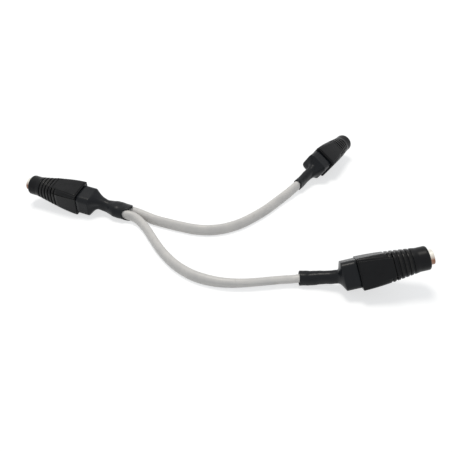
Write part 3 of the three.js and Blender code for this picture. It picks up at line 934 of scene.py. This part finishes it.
    def build(
        self, name: str, place: Matrix, passage_turn: float, finishes: Finishes
    ) -> tuple[bpy.types.Object, bpy.types.Object]:
        """Builds and dresses the body and the cover.

        Args:
            name: The connector's name.
            place: Where its frame lies.
            passage_turn: How far the cable's wide axis is turned about the connector's, in radians.
            finishes: The part's finishes.

        Returns:
            The body and the cover.
        """
        plastic = finishes[Finish.HOUSING]
        body_mesh = self.body_surface().mesh(f"{name}_body", place, self.crease)
        body = add_piece(f"{name}_moulded_body", body_mesh, plastic)
        tools = []
        for i, surface in enumerate(self.cutters(passage_turn)):
            tool_mesh = surface.mesh(f"{name}_cutter_{i}", place, self.crease)
            tools.append(add_piece(f"{name}_cutter_{i}", tool_mesh, plastic))
        cut_away(body, tools, self.crease)
        cover_mesh = self.cover_surface().mesh(f"{name}_cover", place, self.crease)
        return body, add_piece(f"{name}_moulded_cover", cover_mesh, plastic)


# Socket


@dataclass(frozen=True)
class Socket:
    """The metal of the in-line socket: a sleeve that stands out of the nose, and a centre pin."""

    sleeve_radius: float = 3.5
    sleeve_wall: float = 0.4
    sleeve_rear: float = 15.6
    sleeve_front: float = 33.0
    pin_radius: float = 1.05
    pin_rear: float = 9.2
    pin_front: float = 31.2
    pin_tip: float = 0.85
    pin_chamfer: float = 0.15
    sleeve_sides: int = 72
    pin_sides: int = 40
    lip_steps: int = 8
    tip_steps: int = 6
    crease: float = 50.0

    def sleeve_surface(self) -> Surface:
        """The sleeve, with a rolled lip."""
        outer, inner = self.sleeve_radius, self.sleeve_radius - self.sleeve_wall
        middle, roll = (outer + inner) / 2, self.sleeve_wall / 2
        lip = []
        for step in range(self.lip_steps + 1):
            angle = math.pi * step / self.lip_steps
            lip.append((self.sleeve_front - roll + roll * math.sin(angle), middle + roll * math.cos(angle)))
        foot = [(self.sleeve_rear, inner), (self.sleeve_rear, outer)]
        return turned([*foot, *lip], self.sleeve_sides, closed=True)

    def pin_surface(self) -> Surface:
        """The centre pin, with a rounded tip."""
        tip = []
        for step in range(self.tip_steps + 1):
            angle = math.pi / 2 * step / self.tip_steps
            x = self.pin_front - self.pin_tip + self.pin_tip * math.sin(angle)
            tip.append((x, max(self.pin_radius * math.cos(angle), 0.02)))
        foot = [(self.pin_rear, self.pin_radius - self.pin_chamfer)]
        foot.append((self.pin_rear + self.pin_chamfer, self.pin_radius))
        return turned([*foot, *tip], self.pin_sides, closed=False)

    def build(
        self, name: str, place: Matrix, finishes: Finishes
    ) -> tuple[bpy.types.Object, bpy.types.Object]:
        """Builds and dresses the sleeve and the pin."""
        nickel = finishes[Finish.NICKEL]
        sleeve_mesh = self.sleeve_surface().mesh(f"{name}_sleeve", place, self.crease)
        sleeve = add_piece(f"{name}_barrel_sleeve", sleeve_mesh, nickel)
        pin_mesh = self.pin_surface().mesh(f"{name}_pin", place, self.crease)
        return sleeve, add_piece(f"{name}_barrel_pin", pin_mesh, nickel)


# Boot


@dataclass(frozen=True)
class Boot:
    """The heat-shrink boot, from round the housing's block to its open mouth on the cable."""

    length: float
    bend_middle: Pair
    bend_mouth: Pair
    cable_turn: float
    cables: int
    web_up: float
    web_down: float
    web_left: float
    web_right: float
    mouth_spare: float = 0.0
    lips: tuple[Point, ...] = ()
    block_length: float = 6.0
    block_half: float = 5.35
    block_wide_half: float = 5.8
    block_aside: float = 0.4
    inner_corner: float = 1.9
    gap: float = 0.3
    wall: float = 0.45
    shrink_gap: float = 0.25
    cable_half_wide: float = 2.75
    cable_half_thin: float = 1.95
    pair_gap: float = 0.2
    waist_spare: float = 0.5
    front: float = -0.1
    corner_growth: float = 1.8
    knee: float = 0.6
    lip_reach: float = 8.0
    waist: Pair = (0.35, 0.68)
    waist_flare: float = 0.4
    mouth_opening: Pair = (0.35, 0.9)
    tilt_span: Pair = (0.4, 0.85)
    slow_ripple: float = 0.075
    quick_ripple: float = 0.03
    sunk: float = 0.05
    shoulder_steps: tuple[float, ...] = (0.15, 0.3, 0.5, 0.75, 1.05, 1.4, 1.8, 2.3)
    neck_step: float = 0.55
    sides: int = 88
    crease: float = 50.0

    @property
    def start(self) -> float:
        """Where the sleeve leaves the block."""
        return -self.block_length - self.gap

    @property
    def mouth(self) -> float:
        """The plane of the open end."""
        return self.start - self.length

    def centre(self, x: float) -> Pair:
        """The centre line's offset across the axis."""
        s = max(0.0, (self.start - x) / self.length)
        along, end = 2 * s * (1 - s), s * s
        y = along * self.bend_middle[0] + end * self.bend_mouth[0]
        return y, along * self.bend_middle[1] + end * self.bend_mouth[1]

    def neck_half(self, x: float) -> Pair:
        """Half sizes inside the neck, along the cable's wide and thin axes."""
        s = (self.start - x) / self.length
        if self.cables == 1:
            spare = self.mouth_spare * smoothstep(s, *self.mouth_opening)
            return self.cable_half_wide + self.shrink_gap, self.cable_half_thin + self.shrink_gap + spare
        flare = smoothstep(s, *self.waist)
        waist = self.cable_half_thin + self.waist_spare
        mouth = 2 * self.cable_half_thin + self.pair_gap + self.waist_spare
        wide = self.cable_half_wide + self.shrink_gap + self.waist_flare * flare
        return wide, waist + (mouth - waist) * flare

    def slope(self, x: float) -> Pair:
        """How fast the centre line moves across the axis."""
        s = max(0.0, (self.start - x) / self.length)
        y = 2 * (1 - 2 * s) * self.bend_middle[0] + 2 * s * self.bend_mouth[0]
        z = 2 * (1 - 2 * s) * self.bend_middle[1] + 2 * s * self.bend_mouth[1]
        return -y / self.length, -z / self.length

    def lip_shift(self, x: float, angle: float) -> float:
        """How far the uneven cut of the mouth moves a point along the axis."""
        near = 1 - smoothstep(x, self.mouth, self.mouth + self.lip_reach)
        shift = 0.0
        for middle, half, depth in self.lips:
            apart = math.degrees(angle) - middle
            apart = abs((apart + 180) % 360 - 180)
            shift += depth * (1 - smoothstep(apart, 0.15 * half, half))
        return shift * near

    def block_radius(self, angle: float, spare: float) -> float:
        """The radius of the rounded rectangle round the block, at an angle from +Y."""
        corner = self.inner_corner + self.corner_growth * (spare - self.gap)
        half_y, half_z = self.block_wide_half + spare, self.block_half + spare
        c, s = abs(math.cos(angle)), abs(math.sin(angle))
        reach = min(half_y / max(c, 1e-6), half_z / max(s, 1e-6))
        inner_y, inner_z = half_y - corner, half_z - corner
        if reach * c <= inner_y or reach * s <= inner_z:
            return reach
        along = c * inner_y + s * inner_z
        past = inner_y * inner_y + inner_z * inner_z - corner * corner
        return along + math.sqrt(max(along * along - past, 0.0))

    def ring(self, station: float, outside: bool, trim: float = 0.0) -> np.ndarray:
        """A section of the sleeve.

        Args:
            station: The place along the axis.
            outside: Whether this is the outer face or the inner one.
            trim: How far the outer face is drawn in, for the rounded ends.

        Returns:
            The ring.
        """
        wall = self.wall - trim if outside else trim
        end = self.start - (self.wall if outside else 0.0)
        turn = math.radians(self.cable_turn)
        tilt = smoothstep((self.start - station) / self.length, *self.tilt_span)
        points = []
        for k in range(self.sides):
            angle = (k + 0.5) * 2 * math.pi / self.sides
            x = station + self.lip_shift(station, angle)
            c, s = math.cos(angle), math.sin(angle)
            side_web = self.web_left if c > 0 else self.web_right
            flat_web = self.web_up if s > 0 else self.web_down
            web = side_web * c * c + flat_web * s * s
            past = max(end - x, 0.0)
            past = math.sqrt(past * past + self.knee**2) - self.knee
            share = min(past / web, 1.0)
            blend = 1 - (1 - share) ** 2
            wide, thin = self.neck_half(x)
            middle_y, middle_z = self.centre(x)
            slope_y, slope_z = self.slope(x)
            square = self.block_radius(angle, self.gap + wall)
            oval = oval_radius(angle - turn, wide + wall, thin + wall)
            if outside:
                oval += self._ripple(x, angle) * blend
            y = (1 - blend) * (self.block_aside + square * c) + blend * (middle_y + oval * c)
            z = (1 - blend) * square * s + blend * (middle_z + oval * s)
            lean = tilt * oval * (slope_y * c + slope_z * s)
            points.append((x - lean, y, z))
        return np.array(points)

    def _ripple(self, x: float, angle: float) -> float:
        """The uneven shrinking of the sleeve, in millimetres."""
        slow = math.sin(0.75 * x + 1.7 * math.sin(angle + self.length))
        quick = math.sin(1.9 * x + 2 * angle + 1.3 * self.length)
        return self.slow_ripple * slow + self.quick_ripple * quick - self.sunk

    def surface(self) -> Surface:
        """The whole sleeve, inside and out."""
        end = self.start - self.wall
        shoulder = [end + 0.5, end + 0.15, end, *(end - step for step in self.shoulder_steps)]
        neck = list(np.arange(shoulder[-1] - self.neck_step, self.mouth + 0.5, -self.neck_step))
        outer = [self.front - 0.15, -2.0, -4.0, *shoulder, *neck, self.mouth + 0.3]
        rings = [self.ring(self.front, True, 0.15)]
        rings += [self.ring(x, True) for x in outer]
        rings += [self.ring(self.mouth + 0.1, True, 0.10), self.ring(self.mouth, True, 0.28)]
        inner = [self.mouth, self.mouth + 0.8, *np.arange(self.mouth + 2.0, self.start - 3.0, 1.2)]
        inner += [self.start - d for d in (2.4, 1.6, 0.9, 0.4, 0.0)] + [self.start + 0.5, self.front]
        rings += [self.ring(float(x), False) for x in inner]
        return skin(rings[::-1], closed=True)

    def build(self, name: str, place: Matrix, finishes: Finishes) -> bpy.types.Object:
        """Builds and dresses the boot."""
        mesh = self.surface().mesh(f"{name}_boot_mesh", place, self.crease)
        return add_piece(f"{name}_shrunk_boot", mesh, finishes[Finish.SLEEVE])


# Connectors


@dataclass(frozen=True)
class Place:
    """Where a connector lies: its grip's rear, its heading, how far its nose is raised, and its roll."""

    at: Point
    heading: float
    pitch: float
    roll: float

    def matrix(self) -> Matrix:
        """The connector's frame in the part's frame, in millimetres."""
        turn = Matrix.Rotation(math.radians(self.heading), 4, "Z")
        raised = Matrix.Rotation(-math.radians(self.pitch), 4, "Y")
        rolled = Matrix.Rotation(math.radians(self.roll), 4, "X")
        return Matrix.Translation(self.at) @ turn @ raised @ rolled


@dataclass(frozen=True)
class Connector:
    """One in-line socket with its housing, metal and boot."""

    name: str
    place: Place
    boot: Boot
    housing: Housing = Housing()
    socket: Socket = Socket()

    def to_part(self, x: float, along_wide: float, along_thin: float) -> Point:
        """A point on a cable's centre line inside the boot, in the part's frame.

        Args:
            x: The place along the connector's axis.
            along_wide: The offset along the cable's wide axis.
            along_thin: The offset along its thin axis.

        Returns:
            The point, in millimetres.
        """
        turn = math.radians(self.boot.cable_turn)
        y, z = self.boot.centre(x)
        y += along_wide * math.cos(turn) - along_thin * math.sin(turn)
        z += along_wide * math.sin(turn) + along_thin * math.cos(turn)
        return tuple(self.place.matrix() @ Vector((x, y, z)))

    def build(self, finishes: Finishes) -> None:
        """Builds the pieces, and lets each one stand for its solid."""
        place = self.place.matrix()
        body, cover = self.housing.build(self.name, place, math.radians(self.boot.cable_turn), finishes)
        sleeve, pin = self.socket.build(self.name, place, finishes)
        boot = self.boot.build(self.name, place, finishes)
        made = [
            (body, "housing_body", Finish.HOUSING),
            (cover, "housing_cover", Finish.HOUSING),
            (sleeve, "socket_sleeve", Finish.NICKEL),
            (pin, "centre_pin", Finish.NICKEL),
            (boot, "boot", Finish.SLEEVE),
        ]
        for piece, node, finish in made:
            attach(piece, "root")
            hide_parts(f"{self.name}_{node}")
            LOG.info("%s: %d faces", piece.name, len(piece.data.polygons))


LEFT = Connector(
    "left",
    Place((-70.7, 3.4, 7.776788), 164.0, 7.3, -7.1),
    Boot(
        22.5, (-0.3, -1.0), (1.0, 0.3), 97, 2, web_up=11.0, web_down=3.0, web_left=4.0, web_right=7.0,
        lips=((22.0, 55.0, 1.5), (-70.0, 50.0, -2.4), (112.0, 55.0, -2.0)),
    ),
)
RIGHT = Connector(
    "right",
    Place((70.7, -59.6, 9.416073), 1.6, 16.5, 53.2),
    Boot(
        20.3, (1.2, -3.1), (3.5, -1.9), 37, 1, web_up=2.5, web_down=2.5, web_left=1.6, web_right=2.5,
        mouth_spare=0.45,
    ),
)
FAR = Connector(
    "far",
    Place((69.4, 41.3, 9.209905), 50.8, 2.8, 31.1),
    Boot(19.1, (-1.2, -2.7), (-1.5, -3.0), 59, 1, web_up=2.0, web_down=5.0, web_left=2.0, web_right=9.0),
)


# Cables


@dataclass(frozen=True)
class FlatCable:
    """One flat two-core cable, from inside the left boot to inside another connector."""

    name: str
    route: tuple[Point, ...]
    side: int
    target: Connector
    length: float
    leans: tuple[Pair, ...]
    half_wide: float = 2.78
    half_thin: float = 1.98
    sides: int = 36
    step: float = 0.9
    crease: float = 60.0
    in_left_boot: Pair = (5.0, 2.5)
    in_target: tuple[float, ...] = (2.0, 5.0, 9.0, 13.0, 16.5)
    end_inset: float = 0.4
    cord_nodes: tuple[str, ...] = ()

    def line(self) -> list[Vector]:
        """The centre line, in metres, with both ends inside their boots."""
        start = LEFT.boot.mouth
        offset = self.side * (LEFT.boot.cable_half_thin + LEFT.boot.pair_gap / 2)
        head = [LEFT.to_part(start + d, 0.0, offset) for d in self.in_left_boot]
        end = self.target.boot.mouth
        depths = (*self.in_target, -self.end_inset - end)
        tail = [self.target.to_part(end + d, 0.0, 0.0) for d in depths]
        points = [Vector(p) * MM for p in head] + [Vector(p) for p in self.route]
        return self._smooth(points + [Vector(p) * MM for p in tail])

    def _smooth(self, points: Sequence[Vector]) -> list[Vector]:
        """Draws a centripetal curve through points and samples it evenly."""
        full = [2 * points[0] - points[1], *points, 2 * points[-1] - points[-2]]
        line: list[Vector] = []
        for i in range(1, len(full) - 2):
            group = full[i - 1 : i + 3]
            knots = [0.0]
            for a, b in zip(group, group[1:]):
                knots.append(knots[-1] + max((b - a).length, 1e-7) ** 0.5)
            count = max(1, round((group[2] - group[1]).length / (self.step * MM)))
            for k in range(count):
                t = knots[1] + (knots[2] - knots[1]) * k / count
                line.append(self._between(group, knots, t))
        return [*line, points[-1]]

    @staticmethod
    def _between(group: Sequence[Vector], knots: Sequence[float], t: float) -> Vector:
        """One point of the centripetal curve, by mixing its four points again and again."""
        first = [group[j].lerp(group[j + 1], (t - knots[j]) / (knots[j + 1] - knots[j])) for j in range(3)]
        second = [first[j].lerp(first[j + 1], (t - knots[j]) / (knots[j + 2] - knots[j])) for j in range(2)]
        return second[0].lerp(second[1], (t - knots[1]) / (knots[2] - knots[1]))

    def lean(self, share: float) -> float:
        """How far the wide side leans away from upright at a share of the length, in radians."""
        for (low, first), (high, second) in zip(self.leans, self.leans[1:]):
            if share <= high:
                return math.radians(first + (second - first) * smoothstep(share, low, high))
        return math.radians(self.leans[-1][1])

    def surface(self, line: Sequence[Vector]) -> Surface:
        """The jacket round the centre line, in millimetres."""
        lengths = [0.0]
        for a, b in zip(line, line[1:]):
            lengths.append(lengths[-1] + (b - a).length)
        rings = []
        for i, point in enumerate(line):
            ahead = (line[min(i + 1, len(line) - 1)] - line[max(i - 1, 0)]).normalized()
            across = Vector((0, 0, 1)).cross(ahead).normalized()
            upright = ahead.cross(across)
            lean = self.lean(lengths[i] / lengths[-1])
            wide = upright * math.cos(lean) + across * math.sin(lean)
            thin = across * math.cos(lean) - upright * math.sin(lean)
            ring = []
            for k in range(self.sides):
                angle = 2 * math.pi * k / self.sides
                radius = oval_radius(angle - math.pi / 2, self.half_wide, self.half_thin)
                offset = thin * (radius * math.cos(angle)) + wide * (radius * math.sin(angle))
                ring.append(tuple(point / MM + offset))
            rings.append(np.array(ring))
        return skin(rings)

    def build(self, finishes: Finishes) -> None:
        line = self.line()
        mesh = self.surface(line).mesh(f"{self.name}_mesh", Matrix.Identity(4), self.crease)
        piece = add_piece(self.name, mesh, finishes[Finish.JACKET])
        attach(piece, "root")
        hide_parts(*self.cord_nodes)
        real = sum((b - a).length for a, b in zip(line, line[1:]))
        LOG.info("%s: %d faces, %.1f mm long", piece.name, len(mesh.polygons), real / MM)


NEAR_ROUTE = (
    (-0.0436, -0.0076, 0.0042), (-0.0412, -0.0083, 0.0039), (-0.0382, -0.0103, 0.0035),
    (-0.0350, -0.0139, 0.0031), (-0.0316, -0.0191, 0.0028), (-0.0281, -0.0256, 0.0028),
    (-0.0229, -0.0350, 0.0028), (-0.0181, -0.0420, 0.0028), (-0.0138, -0.0471, 0.0028),
    (-0.0096, -0.0509, 0.0028), (-0.0056, -0.0538, 0.0028), (-0.0017, -0.0558, 0.0028),
    (0.0058, -0.0583, 0.0028), (0.0133, -0.0592, 0.0028), (0.0207, -0.0590, 0.0028),
    (0.0282, -0.0581, 0.0028), (0.0358, -0.0571, 0.0028), (0.0417, -0.0567, 0.0029),
    (0.0441, -0.0567, 0.0033),
)
FAR_ROUTE = (
    (-0.0425, -0.0036, 0.0042), (-0.0396, -0.0046, 0.0038), (-0.0360, -0.0063, 0.0034),
    (-0.0323, -0.0083, 0.0031), (-0.0289, -0.0101, 0.0028), (-0.0255, -0.0117, 0.0028),
    (-0.0210, -0.0135, 0.0028), (-0.0165, -0.0153, 0.0028), (-0.0120, -0.0169, 0.0028),
    (-0.0077, -0.0183, 0.0028), (-0.0034, -0.0191, 0.0028), (0.0009, -0.0194, 0.0028),
    (0.0052, -0.0190, 0.0028), (0.0094, -0.0180, 0.0028), (0.0137, -0.0162, 0.0028),
    (0.0181, -0.0138, 0.0028), (0.0225, -0.0105, 0.0028), (0.0271, -0.0065, 0.0028),
    (0.0319, -0.0019, 0.0028), (0.0368, 0.0035, 0.0028), (0.0419, 0.0094, 0.0030),
    (0.0472, 0.0151, 0.0036), (0.0513, 0.0196, 0.0044), (0.0529, 0.0215, 0.0046),
)
CABLES = (
    FlatCable(
        "white_cable_near", NEAR_ROUTE, -1, RIGHT, 0.142,
        ((0.0, 0.0), (0.2, 8.0), (0.45, 8.0), (0.72, -46.0), (0.86, -46.0), (1.0, 0.0)),
        cord_nodes=("cable_near", "left_cable_end_near", "right_cable_end"),
    ),
    FlatCable(
        "white_cable_far", FAR_ROUTE, 1, FAR, 0.142,
        ((0.0, 0.0), (0.18, 24.0), (0.75, 24.0), (0.86, 0.0), (1.0, 0.0)),
        cord_nodes=("cable_far", "left_cable_end_far", "far_cable_end"),
    ),
)


# Studio


@dataclass(frozen=True)
class Studio:
    """The floor, the light and the camera."""

    camera_at: Point = (0.0105, -0.2140, 0.1552)
    camera_tilt: float = 52.45
    lens: float = 36.98
    floor_size: float = 6.0
    lamp_power: float = 3.1
    lamp_size: float = 0.27
    lamp_tint: Point = (1.0, 0.955, 0.885)
    lamp_at: Point = (-0.08, 0.10, 0.8)
    lamp_aim: Point = (0.0, -0.02, 0.0)
    fill: float = 0.40
    fill_tint: Colour = (0.92, 0.96, 1.0, 1)
    floor_plain: Colour = (0.80, 0.80, 0.80, 1)
    floor_seen: Colour = (0.51, 0.52, 0.53, 1)
    glow_near: float = 0.66
    glow_start: float = 0.16
    glow_end: float = 0.5

    def build_camera(self) -> None:
        """Sets the camera at the photograph's viewing angle."""
        data = bpy.data.cameras.new("camera")
        data.lens = self.lens
        data.sensor_width = 36.0
        data.clip_start = 0.005
        camera = bpy.data.objects.new("camera", data)
        camera.location = self.camera_at
        camera.rotation_euler = (math.radians(self.camera_tilt), 0.0, 0.0)
        bpy.context.scene.collection.objects.link(camera)
        bpy.context.scene.camera = camera

    def build_floor(self) -> None:
        """Lays a pale floor that keeps the object's shadow."""
        half = self.floor_size / 2
        mesh = bpy.data.meshes.new("floor")
        corners = [(-half, -half, 0.0), (half, -half, 0.0), (half, half, 0.0), (-half, half, 0.0)]
        mesh.from_pydata(corners, [], [(0, 1, 2, 3)])
        material = bpy.data.materials.new("pale_floor")
        material.use_nodes = True
        nodes = Nodes(material.node_tree)
        material.node_tree.nodes.clear()
        plain = nodes.add("ShaderNodeBsdfDiffuse", {"Color": self.floor_plain}).outputs[0]
        seen = nodes.add("ShaderNodeBsdfDiffuse", {"Color": self.floor_seen}).outputs[0]
        where = nodes.add("ShaderNodeTexCoord").outputs["Object"]
        away = nodes.add("ShaderNodeVectorMath", {0: where}, operation="LENGTH").outputs["Value"]
        strength = nodes.span(away, self.glow_start, self.glow_end, self.glow_near, 1.0)
        glow = nodes.add("ShaderNodeEmission", {"Color": (1, 1, 1, 1), "Strength": strength}).outputs[0]
        white = nodes.add("ShaderNodeAddShader", {0: seen, 1: glow}).outputs[0]
        rays = self._backdrop_rays(nodes)
        mixed = nodes.add("ShaderNodeMixShader", {0: rays, 1: plain, 2: white}).outputs[0]
        nodes.add("ShaderNodeOutputMaterial", {"Surface": mixed})
        floor = add_piece("floor", mesh, material)

    @staticmethod
    def _backdrop_rays(nodes: Nodes) -> bpy.types.NodeSocket:
        """Whether a ray comes from the camera, or through glass or off a gloss."""
        path = nodes.add("ShaderNodeLightPath")
        some = nodes.math("MAXIMUM", path.outputs["Is Camera Ray"], path.outputs["Is Glossy Ray"])
        return nodes.math("MAXIMUM", some, path.outputs["Is Transmission Ray"])

    def build_light(self) -> None:
        """Hangs one large soft lamp overhead, in an even pale room."""
        data = bpy.data.lights.new("overhead_softbox", "AREA")
        data.shape = "DISK"
        data.size = self.lamp_size
        data.energy = self.lamp_power
        data.color = self.lamp_tint
        lamp = bpy.data.objects.new("overhead_softbox", data)
        lamp.location = self.lamp_at
        aim = Vector(self.lamp_aim) - Vector(lamp.location)
        lamp.rotation_euler = aim.to_track_quat("-Z", "Y").to_euler()
        bpy.context.scene.collection.objects.link(lamp)
        world = bpy.data.worlds.new("pale_room")
        bpy.context.scene.world = world
        world.use_nodes = True
        nodes = Nodes(world.node_tree)
        world.node_tree.nodes.clear()
        tinted = {"Color": self.fill_tint, "Strength": self.fill}
        room = nodes.add("ShaderNodeBackground", tinted).outputs[0]
        white = nodes.add("ShaderNodeBackground", {"Color": (1, 1, 1, 1), "Strength": 1.0}).outputs[0]
        rays = self._backdrop_rays(nodes)
        mixed = nodes.add("ShaderNodeMixShader", {0: rays, 1: room, 2: white}).outputs[0]
        nodes.add("ShaderNodeOutputWorld", {"Surface": mixed})


def dress_inner_pieces(finishes: Finishes) -> None:
    """Gives the solids inside the connectors their finishes."""
    kinds = {
        "insulator": Finish.CARRIER,
        "contact_spring": Finish.BRASS,
        "tag_plus": Finish.BRASS,
        "tag_minus": Finish.BRASS,
        "red_core": Finish.RED,
        "black_core": Finish.BLACK,
    }
    for name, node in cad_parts.items():
        for kind, finish in kinds.items():
            if kind in name:
                node.data.materials.clear()
                node.data.materials.append(finishes[finish])
                LOG.info("%s: %s", name, finish.value)


def main() -> None:
    """Builds the camera, the cables, the connectors and the studio, in that order."""
    logging.basicConfig(level=logging.INFO, format="%(name)s: %(message)s")
    bpy.context.scene.view_settings.view_transform = "Standard"
    studio = Studio()
    studio.build_camera()
    finishes = Finishes()
    for cable in CABLES:
        cable.build(finishes)
    for connector in (LEFT, RIGHT, FAR):
        connector.build(finishes)
    dress_inner_pieces(finishes)
    studio.build_floor()
    studio.build_light()


if __name__ == "__main__":
    main()
